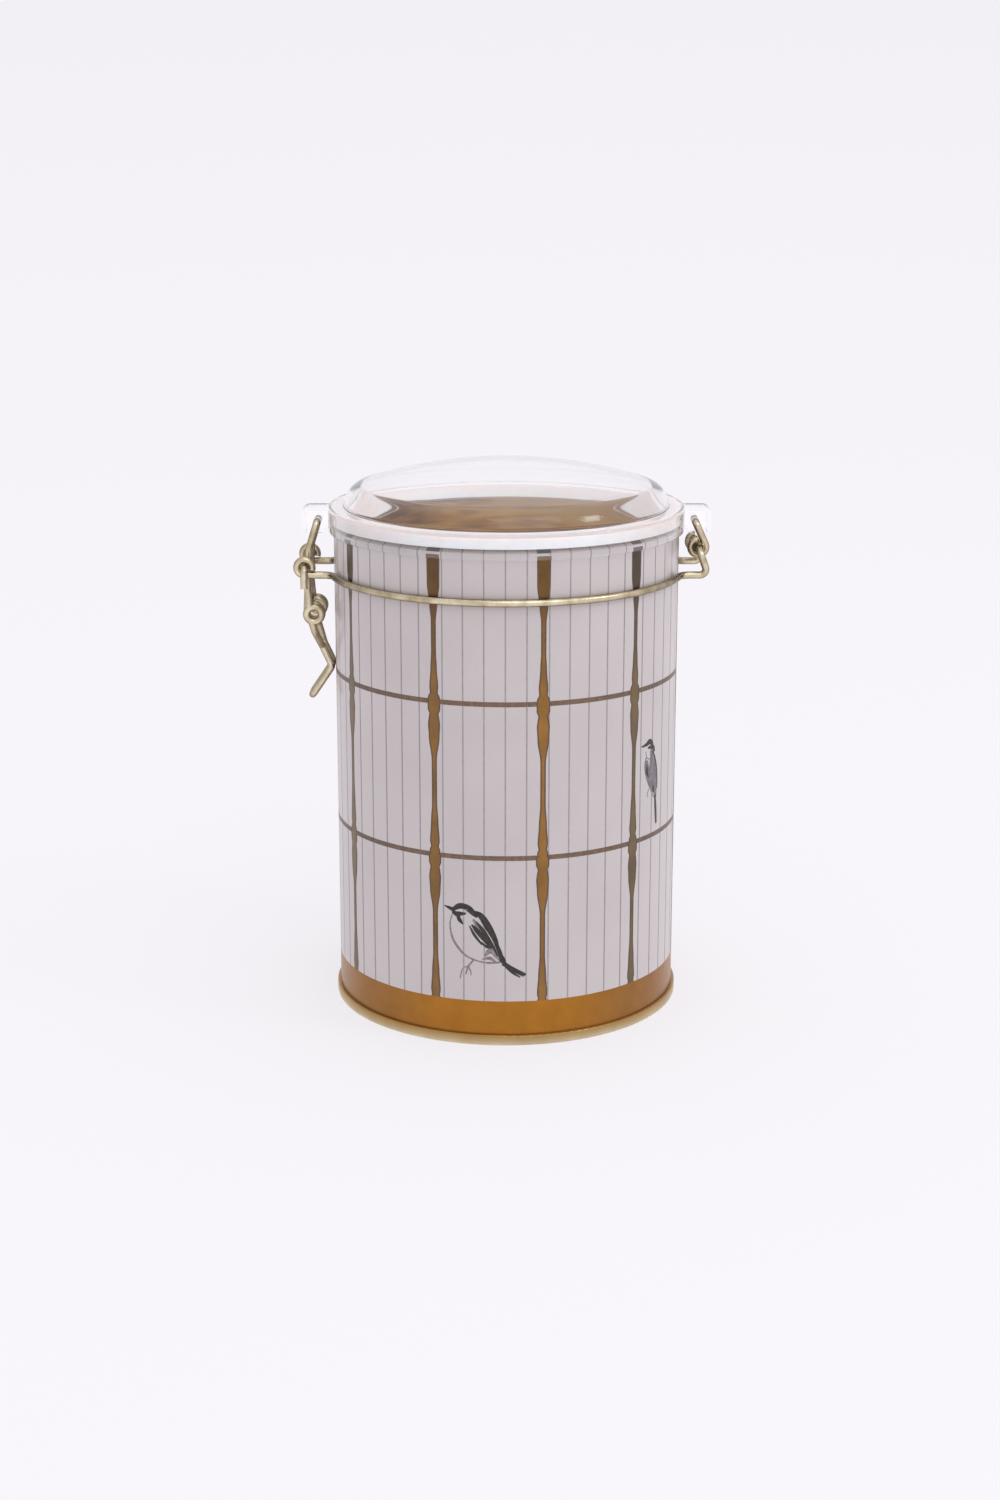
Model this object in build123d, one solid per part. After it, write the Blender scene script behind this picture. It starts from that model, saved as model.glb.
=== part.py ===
"""Round storage tin with a clear gasketed lid and a wire clip, in millimetres.

The frame stands on the tin's foot: the origin is the centre of the foot ring, +Z is up,
-X is the latch side and +X is the hinge side. Everything is symmetric about Y = 0.
"""

from build123d import *
from math import acos, atan2, cos, degrees, hypot, radians, sin, sqrt
import os

# ---- driving dimensions -------------------------------------------------------------
BODY_R = 50.0            # outside radius of the rolled body
SHEET = 0.3              # tinplate thickness
NECK_R = 48.3            # outside radius of the necked-in mouth
NECK_FOOT_Z = 141.9      # where the body starts to neck in
NECK_TOP_Z = 143.1
CURL_R = 0.7             # outside radius of the rolled mouth edge
CURL_TOP_Z = 145.05

SEAM_R = 51.0            # outside radius of the foot's double seam
SEAM_H = 3.1
SEAM_FLOOR = 0.6         # metal under the body's foot inside the seam
SEAM_PLAY = 0.05         # gap left each side of the body wall in the seam
PANEL_Z = 3.4            # underside of the recessed base panel
BEAD_R = 39.0            # mean radius of the panel's stiffening bead
BEAD_DROP = 0.7

LID_SKIRT_R = 51.4       # outside radius of the lid's skirt
LID_SKIRT_T = 1.0
LID_SKIRT_Z = 140.2
FLANGE_TOP_Z = 147.3
FLANGE_T = 1.15
FLANGE_ROUND = 0.6
DOME_R = 46.9            # outside radius of the dome's upright wall
DOME_T = 1.3
DOME_TOP_Z = 160.0
CROWN_R = 139.4          # radius of the dome's shallow crown
SHOULDER_R = 6.2         # radius between the dome's wall and its crown, inside and out
PLUG_R = 46.5            # outside radius of the wall that drops into the mouth
PLUG_Z = 142.2

GASKET_IN_R = 46.55
GASKET_OUT_R = 50.3
GASKET_LEG_T = 0.55
GASKET_WEB_T = 1.0
GASKET_LEG_Z = 143.1     # lower end of the leg outside the mouth
GASKET_LIP_Z = 142.6     # lower end of the lip inside the mouth
GASKET_PLAY = 0.02

LUG_HALF = 3.4           # half width of each lug hood
LUG_WALL = 1.2
LUG_OUT = 59.2           # outermost reach of each lug
LUG_LOW_Z = 139.5
LUG_TOP_Z = 146.9
LUG_ROUND = 2.2
LUG_ROOT = 50.9          # how far each lug runs into the skirt
LUG_NOTCH_X = 52.5       # inner limit of the cheeks below the skirt
PIN_X = 54.6             # the lug pins' axes, each side
PIN_Z = 142.6

WIRE_R = 1.05
FIT = 0.08               # radial clearance of a wire pin in its eye or hole
EYE_R = 2 * WIRE_R + FIT             # mean radius of a wire eye
EYE_SWEEP = 286.0        # how far an eye's wire goes round, in degrees
BEND_R = 1.7             # usual centreline radius of a bend in the wire

RING_GAP = 0.05
RING_Z = 128.5           # height of the wire round the body
LEG_Y = 11.0             # the collar's legs, each side of Y = 0
LEG_FILLET = 3.5
RISER_X = 57.9           # where the hinge-side legs turn up
BAR_X = 55.4             # the raised hinge bar
BAR_Z = 135.5
LATCH_X = -57.9          # the lever's pivot, in the collar's eyes
LATCH_Z = RING_Z + EYE_R

LINK_Y = 4.75            # the hinge link's and the bail's legs, each side
LEVER_Y = 7.2            # the lever's arms and coils, each side
TAIL_Y = 13.4            # the lever's turned-down wire ends
TAIL_Z = 125.0

COIL_X = -55.7           # the lever's coils, where the bail's curls lie beside them
COIL_Z = 116.2
BAIL_KNEE = (-56.9, 135.2)
GRIP_Y = 3.0             # the finger grip's two strands
GRIP_TOP = (-55.55, 111.0)
GRIP_CLOSE = (-53.65, 105.8)
GRIP_BEND = (-50.95, 99.9)
GRIP_TIP = (-57.0, 91.0)


# ---- helpers ------------------------------------------------------------------------
def turned(*edges):
    """The solid that a closed outline of edges in the XZ plane makes about Z."""
    return revolve(make_face(Curve() + list(edges)), axis=Axis.Z)


def at(r, z):
    """A point of a half section."""
    return (r, 0, z)


def runs(*points):
    """Straight edges through the points."""
    return [Line(a, b) for a, b in zip(points, points[1:])]


def arc_xz(centre, radius, start, end, y=0.0):
    """An arc in a plane parallel to XZ, by its angles in degrees from +X towards +Z."""
    angles = (radians(start), radians((start + end) / 2), radians(end))
    points = [(centre[0] + radius * cos(a), y, centre[1] + radius * sin(a)) for a in angles]
    return ThreePointArc(*points)


def wire_along(path):
    """Round wire swept along a path."""
    return sweep(Plane(path @ 0, z_dir=path % 0) * Circle(WIRE_R), path=path)


def bent(points, radius=BEND_R):
    """A wire's centreline through the points, with its corners bent."""
    return FilletPolyline(*points, radius=radius)


def tangent_angle(centre, point, side):
    """The angle round an eye where a straight wire from the point leaves it."""
    away_x = point[0] - centre[0]
    away_z = point[1] - centre[1]
    half = acos(EYE_R / hypot(away_x, away_z))
    return degrees(atan2(away_z, away_x) + side * half)


def on_eye(centre, angle, y):
    """The point of an eye's centreline at an angle in degrees."""
    return (centre[0] + EYE_R * cos(radians(angle)), y, centre[1] + EYE_R * sin(radians(angle)))


# ---- the tin ------------------------------------------------------------------------
def can_body():
    """Rolled body: necked in at the mouth, its edge curled outwards."""
    inner_r = BODY_R - SHEET
    neck_in_r = NECK_R - SHEET
    foot_z = SEAM_FLOOR + SEAM_PLAY
    curl = (neck_in_r + CURL_R, CURL_TOP_Z - CURL_R)
    inside = runs(
        at(inner_r, foot_z),
        at(inner_r, NECK_FOOT_Z),
        at(neck_in_r, NECK_TOP_Z),
        at(neck_in_r, curl[1]),
    )
    outside = runs(
        at(NECK_R, curl[1]),
        at(NECK_R, NECK_TOP_Z),
        at(BODY_R, NECK_FOOT_Z),
        at(BODY_R, foot_z),
        at(inner_r, foot_z),
    )
    roll_out = arc_xz(curl, CURL_R, 180, -90)
    roll_in = arc_xz(curl, CURL_R - SHEET, -90, 180)
    return turned(*inside, roll_out, Line(roll_out @ 1, roll_in @ 0), roll_in, *outside)


def base_end():
    """Pressed bottom: a recessed, beaded panel and the double seam it stands on."""
    groove_in = BODY_R - SHEET - SEAM_PLAY
    groove_out = BODY_R + SEAM_PLAY
    chuck_r = groove_in - SHEET
    panel_top = PANEL_Z + SHEET
    round_r = 0.4
    bead_half = 1.6
    bead_slope = 0.8
    under_bead = PANEL_Z - BEAD_DROP
    lower = runs(
        at(0, PANEL_Z),
        at(BEAD_R - bead_half - bead_slope, PANEL_Z),
        at(BEAD_R - bead_half, under_bead),
        at(BEAD_R + bead_half, under_bead),
        at(BEAD_R + bead_half + bead_slope, PANEL_Z),
        at(chuck_r, PANEL_Z),
        at(chuck_r, round_r),
    )
    foot = [
        arc_xz((chuck_r + round_r, round_r), round_r, 180, 270),
        Line(at(chuck_r + round_r, 0), at(SEAM_R - round_r, 0)),
        arc_xz((SEAM_R - round_r, round_r), round_r, -90, 0),
        Line(at(SEAM_R, round_r), at(SEAM_R, SEAM_H - round_r)),
        arc_xz((SEAM_R - round_r, SEAM_H - round_r), round_r, 0, 90),
    ]
    upper = runs(
        at(SEAM_R - round_r, SEAM_H),
        at(groove_out, SEAM_H),
        at(groove_out, SEAM_FLOOR),
        at(groove_in, SEAM_FLOOR),
        at(groove_in, panel_top),
        at(BEAD_R + bead_half + bead_slope, panel_top),
        at(BEAD_R + bead_half, under_bead + SHEET),
        at(BEAD_R - bead_half, under_bead + SHEET),
        at(BEAD_R - bead_half - bead_slope, panel_top),
        at(0, panel_top),
        at(0, PANEL_Z),
    )
    return turned(*lower, *foot, *upper)


# ---- the lid ------------------------------------------------------------------------
def dome_centres(wall_r, top_z):
    """Centres of a dome surface's crown and shoulder, and the angle where the two meet."""
    crown = (0, top_z - CROWN_R)
    shoulder_x = wall_r - SHOULDER_R
    shoulder = (shoulder_x, crown[1] + sqrt((CROWN_R - SHOULDER_R) ** 2 - shoulder_x**2))
    return crown, shoulder, degrees(atan2(shoulder[1] - crown[1], shoulder_x))


def dome_shape():
    """The lid without its lugs: dome, flange, skirt and the wall that enters the mouth."""
    inner_r = DOME_R - DOME_T
    crown, shoulder, turn = dome_centres(DOME_R, DOME_TOP_Z)
    inner_crown, inner_shoulder, inner_turn = dome_centres(inner_r, DOME_TOP_Z - DOME_T)
    skirt_in = LID_SKIRT_R - LID_SKIRT_T
    flange_low = FLANGE_TOP_Z - FLANGE_T
    inside = [
        arc_xz(inner_crown, CROWN_R, 90, inner_turn),
        arc_xz(inner_shoulder, SHOULDER_R, inner_turn, 0),
    ]
    rim = runs(
        at(inner_r, inner_shoulder[1]),
        at(inner_r, PLUG_Z),
        at(PLUG_R, PLUG_Z),
        at(PLUG_R, flange_low),
        at(skirt_in, flange_low),
        at(skirt_in, LID_SKIRT_Z),
        at(LID_SKIRT_R, LID_SKIRT_Z),
        at(LID_SKIRT_R, FLANGE_TOP_Z - FLANGE_ROUND),
    )
    edge_r = LID_SKIRT_R - FLANGE_ROUND
    top = [
        arc_xz((edge_r, FLANGE_TOP_Z - FLANGE_ROUND), FLANGE_ROUND, 0, 90),
        Line(at(edge_r, FLANGE_TOP_Z), at(DOME_R, FLANGE_TOP_Z)),
        Line(at(DOME_R, FLANGE_TOP_Z), at(DOME_R, shoulder[1])),
        arc_xz(shoulder, SHOULDER_R, 0, turn),
        arc_xz(crown, CROWN_R, turn, 90),
        Line(at(0, DOME_TOP_Z), at(0, DOME_TOP_Z - DOME_T)),
    ]
    return turned(*inside, *rim, *top)


def prism(outline, half_width):
    """An XZ outline made solid to the same depth each side of Y = 0."""
    return extrude(make_face(Curve() + outline), amount=half_width, both=True)


def lug(side):
    """A hood on the skirt, open below, with a pin hole across its two cheeks."""
    corner = (LUG_OUT - LUG_ROUND, LUG_TOP_Z - LUG_ROUND)
    shell = runs(
        at(LUG_NOTCH_X, LUG_LOW_Z),
        at(LUG_OUT, LUG_LOW_Z),
        at(LUG_OUT, corner[1]),
    )
    shell.append(arc_xz(corner, LUG_ROUND, 0, 90))
    shell += runs(
        at(corner[0], LUG_TOP_Z),
        at(LUG_ROOT, LUG_TOP_Z),
        at(LUG_ROOT, LID_SKIRT_Z),
        at(LUG_NOTCH_X, LID_SKIRT_Z),
        at(LUG_NOTCH_X, LUG_LOW_Z),
    )
    cavity_round = LUG_ROUND - LUG_WALL
    cavity_out = LUG_OUT - LUG_WALL
    cavity_top = LUG_TOP_Z - LUG_WALL
    below = LUG_LOW_Z - 1
    room = runs(
        at(LID_SKIRT_R, below),
        at(cavity_out, below),
        at(cavity_out, cavity_top - cavity_round),
    )
    room.append(arc_xz((cavity_out - cavity_round, cavity_top - cavity_round), cavity_round, 0, 90))
    room += runs(
        at(cavity_out - cavity_round, cavity_top),
        at(LID_SKIRT_R, cavity_top),
        at(LID_SKIRT_R, below),
    )
    hole = Cylinder(WIRE_R + FIT, 4 * LUG_HALF, rotation=(90, 0, 0))
    hood = prism(shell, LUG_HALF) - prism(room, LUG_HALF - LUG_WALL) - Pos(PIN_X, 0, PIN_Z) * hole
    return hood if side > 0 else mirror(hood, Plane.YZ)


def lid():
    """One clear moulding with a lug on the hinge side and one on the latch side."""
    return dome_shape() + lug(1) + lug(-1)


def lid_gasket():
    """Soft channel under the flange: a web over the mouth's curl, a leg and an inner lip."""
    top = FLANGE_TOP_Z - FLANGE_T - GASKET_PLAY
    web_low = top - GASKET_WEB_T
    end_round = GASKET_LEG_T / 2
    leg = (GASKET_OUT_R - end_round, GASKET_LEG_Z + end_round)
    lip = (GASKET_IN_R + end_round, GASKET_LIP_Z + end_round)
    section = runs(
        at(leg[0] - end_round, leg[1]),
        at(leg[0] - end_round, web_low),
        at(lip[0] + end_round, web_low),
        at(lip[0] + end_round, lip[1]),
    )
    section.append(arc_xz(lip, end_round, 0, -180))
    section += runs(
        at(GASKET_IN_R, lip[1]),
        at(GASKET_IN_R, top),
        at(GASKET_OUT_R, top),
        at(GASKET_OUT_R, leg[1]),
    )
    section.append(arc_xz(leg, end_round, 0, -180))
    return turned(*section)


# ---- the wire clip ------------------------------------------------------------------
def latch_eye(y):
    """The collar's eye for the lever's pin, from the leg's end round to the wire's end."""
    return arc_xz((LATCH_X, LATCH_Z), EYE_R, -90, -90 - EYE_SWEEP, y)


def collar_half(side):
    """One side of the collar's centreline, from its eye to its corner below the bar."""
    ring_r = BODY_R + RING_GAP + WIRE_R
    fillet_y = LEG_Y + LEG_FILLET
    fillet_x = sqrt((ring_r + LEG_FILLET) ** 2 - fillet_y**2)
    reach = ring_r / (ring_r + LEG_FILLET)
    inward = atan2(fillet_y - fillet_y * reach, fillet_x - fillet_x * reach)
    half_turn = (radians(90) + inward) / 2
    mid_x = fillet_x - LEG_FILLET * sin(half_turn)
    mid_y = fillet_y - LEG_FILLET * cos(half_turn)
    y = side * LEG_Y
    edges = [latch_eye(y), Line((LATCH_X, y, RING_Z), (-fillet_x, y, RING_Z))]
    ring_ends = []
    for way in (-1, 1):
        ring_ends.append((way * fillet_x * reach, side * fillet_y * reach, RING_Z))
    edges.append(
        ThreePointArc((-fillet_x, y, RING_Z), (-mid_x, side * mid_y, RING_Z), ring_ends[0])
    )
    edges.append(ThreePointArc(ring_ends[0], (0, side * ring_r, RING_Z), ring_ends[1]))
    edges.append(
        ThreePointArc(ring_ends[1], (mid_x, side * mid_y, RING_Z), (fillet_x, y, RING_Z))
    )
    return edges, (fillet_x, y, RING_Z)


def collar_wire():
    """One wire: latch eye, round the body, the raised hinge bar, and back to an eye."""
    near, near_end = collar_half(-1)
    far, far_end = collar_half(1)
    hinge = bent(
        [
            near_end,
            (RISER_X, -LEG_Y, RING_Z),
            (BAR_X, -LEG_Y, BAR_Z),
            (BAR_X, LEG_Y, BAR_Z),
            (RISER_X, LEG_Y, RING_Z),
            far_end,
        ]
    )
    path = Curve() + near + [hinge] + far
    start = latch_eye(-LEG_Y)
    section = Plane(start @ 1, z_dir=start % 1) * Circle(WIRE_R)
    return sweep(section, path=Wire(path.edges()))


def hinge_link():
    """A wire staple: its back is the lid's pin, its eyes turn on the collar's raised bar."""
    bar = (BAR_X, BAR_Z)
    pin = (PIN_X, PIN_Z)
    meets = tangent_angle(bar, pin, -1)
    loops = [arc_xz(bar, EYE_R, meets, meets - EYE_SWEEP, side * LINK_Y) for side in (-1, 1)]
    staple = bent(
        [
            on_eye(bar, meets, -LINK_Y),
            (PIN_X, -LINK_Y, PIN_Z),
            (PIN_X, LINK_Y, PIN_Z),
            on_eye(bar, meets, LINK_Y),
        ],
        WIRE_R + 0.1,
    )
    return wire_from_loop(loops[0], [staple, loops[1]])


def bail_link():
    """A wire bail: its back is the pin in the latch lug, its legs end in curls."""
    coil = (COIL_X, COIL_Z)
    meets = tangent_angle(coil, BAIL_KNEE, 1)
    loops = [arc_xz(coil, EYE_R, meets, meets + EYE_SWEEP, side * LINK_Y) for side in (-1, 1)]
    knees = [(BAIL_KNEE[0], side * LINK_Y, BAIL_KNEE[1]) for side in (-1, 1)]
    staple = bent(
        [
            on_eye(coil, meets, -LINK_Y),
            knees[0],
            (-PIN_X, -LINK_Y, PIN_Z),
            (-PIN_X, LINK_Y, PIN_Z),
            knees[1],
            on_eye(coil, meets, LINK_Y),
        ],
        WIRE_R + 0.1,
    )
    return wire_from_loop(loops[0], [staple, loops[1]])


def wire_from_loop(loop, others):
    """Wire along a loop and then the other edges, its section drawn at the loop's far end."""
    path = Wire((Curve() + [loop] + others).edges())
    return sweep(Plane(loop @ 1, z_dir=loop % 1) * Circle(WIRE_R), path=path)


def latch_lever():
    """A wire lever: turned-down ends, pins in the collar's eyes, arms, coils and a grip."""
    coil = (COIL_X, COIL_Z)
    arm_meets = 125.0
    grip_meets = -110.0
    lever = None
    for side in (-1, 1):
        y = side * LEVER_Y
        arm = wire_along(
            bent(
                [
                    (LATCH_X, side * TAIL_Y, TAIL_Z),
                    (LATCH_X, side * TAIL_Y, LATCH_Z),
                    (LATCH_X, y, LATCH_Z),
                    on_eye(coil, arm_meets, y),
                ],
                WIRE_R + 0.1,
            )
        )
        ring = Pos(COIL_X, y, COIL_Z) * Torus(EYE_R, WIRE_R, rotation=(90, 0, 0))
        lever = arm + ring if lever is None else lever + arm + ring
    strand = []
    for side in (-1, 1):
        points = [
            on_eye(coil, grip_meets, side * LEVER_Y),
            (GRIP_TOP[0], side * LEVER_Y, GRIP_TOP[1]),
            (GRIP_CLOSE[0], side * GRIP_Y, GRIP_CLOSE[1]),
            (GRIP_BEND[0], side * GRIP_Y, GRIP_BEND[1]),
            (GRIP_TIP[0], side * GRIP_Y, GRIP_TIP[1]),
        ]
        strand += points if side < 0 else points[::-1]
    return lever + wire_along(bent(strand, BEND_R))


# ---- output -------------------------------------------------------------------------
PARTS = {
    "can_body": can_body,
    "base_end": base_end,
    "lid": lid,
    "lid_gasket": lid_gasket,
    "collar_wire": collar_wire,
    "hinge_link": hinge_link,
    "bail_link": bail_link,
    "latch_lever": latch_lever,
}

os.makedirs("parts", exist_ok=True)
for name, make in PARTS.items():
    export_step(make(), f"parts/{name}.step")
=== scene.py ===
"""Looks of a round clip-top storage tin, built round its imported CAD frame, in metres."""
import math

import bmesh
import bpy
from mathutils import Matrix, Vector


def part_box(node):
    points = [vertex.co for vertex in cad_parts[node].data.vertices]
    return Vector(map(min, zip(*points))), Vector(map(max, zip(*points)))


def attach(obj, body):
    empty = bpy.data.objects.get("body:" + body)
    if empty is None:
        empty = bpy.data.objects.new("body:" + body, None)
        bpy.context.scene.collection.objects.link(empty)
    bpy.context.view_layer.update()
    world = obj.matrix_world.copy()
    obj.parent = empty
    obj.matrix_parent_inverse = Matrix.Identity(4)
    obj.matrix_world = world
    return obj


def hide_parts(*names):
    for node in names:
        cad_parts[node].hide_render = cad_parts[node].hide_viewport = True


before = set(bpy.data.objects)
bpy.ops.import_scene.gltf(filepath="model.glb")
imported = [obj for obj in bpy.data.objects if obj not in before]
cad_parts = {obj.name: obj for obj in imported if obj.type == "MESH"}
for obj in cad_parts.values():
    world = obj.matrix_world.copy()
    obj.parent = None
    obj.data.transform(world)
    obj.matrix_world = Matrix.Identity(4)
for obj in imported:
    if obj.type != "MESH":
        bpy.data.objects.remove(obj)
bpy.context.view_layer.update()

MM = 0.001

# ---- sizes read from the frame --------------------------------------------------------
can_low, can_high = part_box("can_body")
base_low, base_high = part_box("base_end")
lid_low, lid_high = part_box("lid")
seal_low, seal_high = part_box("lid_gasket")

BODY_R = (can_high.x - can_low.x) / 2
CAN_FOOT = can_low.z
CAN_TOP = can_high.z
PANEL_RISE = 0.6 * MM    # how far the base's panel stands above the top of its seam
SEAM_TOP = base_high.z - PANEL_RISE
LID_TOP = lid_high.z
LID_R = (lid_high.y - lid_low.y) / 2
LUG_OUT = (lid_high.x - lid_low.x) / 2
SEAL_R = (seal_high.x - seal_low.x) / 2
SHEET = 0.3 * MM
ROUND_STEPS = 256        # facets round the tin
TINY = 1e-9              # a radius below this is on the axis


# ---- mesh helpers -----------------------------------------------------------------------
def link(obj):
    """Puts a new object in the scene."""
    bpy.context.scene.collection.objects.link(obj)
    return obj


def shade_smooth(mesh):
    """Smooth shading on every face."""
    mesh.polygons.foreach_set("use_smooth", [True] * len(mesh.polygons))


def mesh_object(name, points, faces, materials):
    """A smooth-shaded mesh object from points in metres and faces by index."""
    mesh = bpy.data.meshes.new(name)
    mesh.from_pydata([tuple(p) for p in points], [], faces)
    mesh.validate()
    for material in materials:
        mesh.materials.append(material)
    shade_smooth(mesh)
    return link(bpy.data.objects.new(name, mesh))


def arc(centre, radius, start, end, steps):
    """Points of an arc in a half section, by angles in degrees from +r towards +z."""
    points = []
    for i in range(steps + 1):
        angle = math.radians(start + (end - start) * i / steps)
        points.append((centre[0] + radius * math.cos(angle), centre[1] + radius * math.sin(angle)))
    return points


def revolved(name, section, materials, pick=None):
    """A closed half section (r, z) turned about Z. pick gives an edge's material number."""
    points = []
    rings = []
    for r, z in section:
        if r < TINY:
            rings.append([len(points)] * ROUND_STEPS)
            points.append((0, 0, z))
            continue
        rings.append(list(range(len(points), len(points) + ROUND_STEPS)))
        for k in range(ROUND_STEPS):
            angle = 2 * math.pi * k / ROUND_STEPS
            points.append((r * math.sin(angle), -r * math.cos(angle), z))
    faces = []
    slots = []
    count = len(section)
    for i in range(count):
        low, high = rings[i], rings[(i + 1) % count]
        for k in range(ROUND_STEPS):
            n = (k + 1) % ROUND_STEPS
            loop = []
            for v in (low[k], low[n], high[n], high[k]):
                if v not in loop:
                    loop.append(v)
            if len(loop) > 2:
                faces.append(loop)
                slots.append(pick(i) if pick else 0)
    obj = mesh_object(name, points, faces, materials)
    obj.data.polygons.foreach_set("material_index", slots)
    return obj


def faces_out(obj):
    """Turns a closed mesh's faces outwards."""
    mesh = bmesh.new()
    mesh.from_mesh(obj.data)
    bmesh.ops.recalc_face_normals(mesh, faces=mesh.faces)
    mesh.to_mesh(obj.data)
    mesh.free()
    return obj


def crisp(obj, angle=35):
    """Smooth shading that keeps edges sharper than the angle."""
    obj.data.set_sharp_from_angle(angle=math.radians(angle))
    return obj


def settle(obj, modifier):
    """Makes a modifier's result the object's own mesh."""
    bpy.context.view_layer.update()
    shaped = obj.evaluated_get(bpy.context.evaluated_depsgraph_get())
    done = bpy.data.meshes.new_from_object(shaped)
    obj.modifiers.remove(modifier)
    obj.data = done


# ---- material helpers -------------------------------------------------------------------
def material(name, **sockets):
    """A material with a Principled shader and its plain socket values."""
    made = bpy.data.materials.new(name)
    made.use_nodes = True
    shader = made.node_tree.nodes["Principled BSDF"]
    for key, value in sockets.items():
        shader.inputs[key.replace("_", " ")].default_value = value
    return made, made.node_tree, shader


def noise(tree, scale, detail=3.0, stretch=None):
    """Noise in the object's own coordinates; scale is in features per metre."""
    where = tree.nodes.new("ShaderNodeTexCoord")
    texture = tree.nodes.new("ShaderNodeTexNoise")
    texture.inputs["Scale"].default_value = scale
    texture.inputs["Detail"].default_value = detail
    source = where.outputs["Object"]
    if stretch:
        mapping = tree.nodes.new("ShaderNodeMapping")
        mapping.inputs["Scale"].default_value = stretch
        tree.links.new(source, mapping.inputs["Vector"])
        source = mapping.outputs["Vector"]
    tree.links.new(source, texture.inputs["Vector"])
    return texture.outputs["Fac"]


def ramp(tree, value, stops):
    """A colour ramp over a value; stops are (place, colour)."""
    node = tree.nodes.new("ShaderNodeValToRGB")
    elements = node.color_ramp.elements
    while len(elements) < len(stops):
        elements.new(0.5)
    for element, (place, colour) in zip(elements, stops):
        element.position = place
        element.color = (*colour, 1.0)
    tree.links.new(value, node.inputs["Fac"])
    return node.outputs["Color"]


def painted_view_shade(tree, stops):
    """Painted shade and reflection: a colour that changes from where a surface faces the eye to
    where it turns away.
    """
    layer = tree.nodes.new("ShaderNodeLayerWeight")
    layer.inputs["Blend"].default_value = 0.5
    return ramp(tree, layer.outputs["Facing"], stops)


def by_height(tree, low, high, stops):
    """A colour that changes between two heights, in metres."""
    where = tree.nodes.new("ShaderNodeTexCoord")
    split = tree.nodes.new("ShaderNodeSeparateXYZ")
    spread = tree.nodes.new("ShaderNodeMapRange")
    spread.inputs["From Min"].default_value = low
    spread.inputs["From Max"].default_value = high
    tree.links.new(where.outputs["Object"], split.inputs["Vector"])
    tree.links.new(split.outputs["Z"], spread.inputs["Value"])
    return ramp(tree, spread.outputs["Result"], stops)


def times(tree, one, other):
    """The product of two colours."""
    product = tree.nodes.new("ShaderNodeVectorMath")
    product.operation = "MULTIPLY"
    tree.links.new(one, product.inputs[0])
    tree.links.new(other, product.inputs[1])
    return product.outputs["Vector"]


def vary_roughness(tree, shader, value, low, high):
    """Roughness that follows a pattern between two values."""
    spread = tree.nodes.new("ShaderNodeMapRange")
    spread.inputs["To Min"].default_value = low
    spread.inputs["To Max"].default_value = high
    tree.links.new(value, spread.inputs["Value"])
    tree.links.new(spread.outputs["Result"], shader.inputs["Roughness"])


def bump(tree, shader, height, distance, strength):
    """Relief from a pattern, its full depth in metres."""
    node = tree.nodes.new("ShaderNodeBump")
    node.inputs["Distance"].default_value = distance
    node.inputs["Strength"].default_value = strength
    tree.links.new(height, node.inputs["Height"])
    tree.links.new(node.outputs["Normal"], shader.inputs["Normal"])


# ---- materials --------------------------------------------------------------------------
PLAIN = (1.0, 1.0, 1.0)  # leaves a colour as it is
VARNISH_ROUGHNESS = 0.12
GRAIN_STRETCH = (1, 1, 40)   # squeezes noise into lines round the tin
GRAIN_DEPTH = 0.03 * MM
FINE_DEPTH = 0.02 * MM
STREAK_STRETCH = (1, 1, 9)
STREAK_DEPTH = 0.4 * MM
SHADE_FROM = 105 * MM    # heights between which painted shade changes the colour of the inside and of the bars
SHADE_TO_INSIDE = 142 * MM
SHADE_TO_BARS = 135 * MM
ACRYLIC_IOR = 1.49
SOAK_DEPTH = 2 * MM      # how far light soaks into the silicone


def print_ground():
    """Pale lilac-grey ink on tinplate under a satin varnish."""
    made, tree, shader = material(
        "print_ground", Coat_Weight=0.35, Coat_Roughness=VARNISH_ROUGHNESS
    )
    cloud = noise(tree, 40)
    tint = ramp(tree, cloud, [(0.35, (0.540, 0.488, 0.490)), (0.65, (0.568, 0.517, 0.515))])
    tree.links.new(tint, shader.inputs["Base Color"])
    vary_roughness(tree, shader, noise(tree, 300), 0.34, 0.46)
    bump(tree, shader, noise(tree, 2500, 2), FINE_DEPTH, 0.25)
    return made


def gold_ink(name, light, dark, painted_edge_shading, shade=None):
    """Metallic gold-brown ink with slight clouding, painted shade and reflection where it turns
    away, and painted shade by height where given.
    """
    made, tree, shader = material(
        name, Metallic=0.85, Coat_Weight=0.15, Coat_Roughness=VARNISH_ROUGHNESS
    )
    tint = ramp(tree, noise(tree, 160, 4), [(0.3, dark), (0.7, light)])
    # painted shade and reflection by how far the surface turns from the eye
    tint = times(tree, tint, painted_view_shade(tree, painted_edge_shading))
    # painted shade by height, such as the lid's shadow on the bars
    if shade:
        tint = times(tree, tint, by_height(tree, *shade))
    tree.links.new(tint, shader.inputs["Base Color"])
    vary_roughness(tree, shader, noise(tree, 700), 0.28, 0.42)
    return made


def flat_ink(name, light, dark):
    """Matt ink with brush-like clouding, and painted shade where it turns from the eye."""
    made, tree, shader = material(name, Coat_Weight=0.12, Coat_Roughness=VARNISH_ROUGHNESS)
    tint = ramp(tree, noise(tree, 900, 4), [(0.35, dark), (0.65, light)])
    # painted shade, greyer where the surface turns from the eye
    tint = times(tree, tint, painted_view_shade(tree, [(0.1, PLAIN), (0.5, (0.7, 0.7, 0.75))]))
    tree.links.new(tint, shader.inputs["Base Color"])
    vary_roughness(tree, shader, noise(tree, 1200), 0.35, 0.5)
    return made


def rolled_grain(tree, shader, low, high):
    """Roughness and relief in fine lines round the tin, as rolled sheet has."""
    grain = noise(tree, 90, 2, stretch=GRAIN_STRETCH)
    vary_roughness(tree, shader, grain, low, high)
    bump(tree, shader, grain, GRAIN_DEPTH, 0.2)


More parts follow.
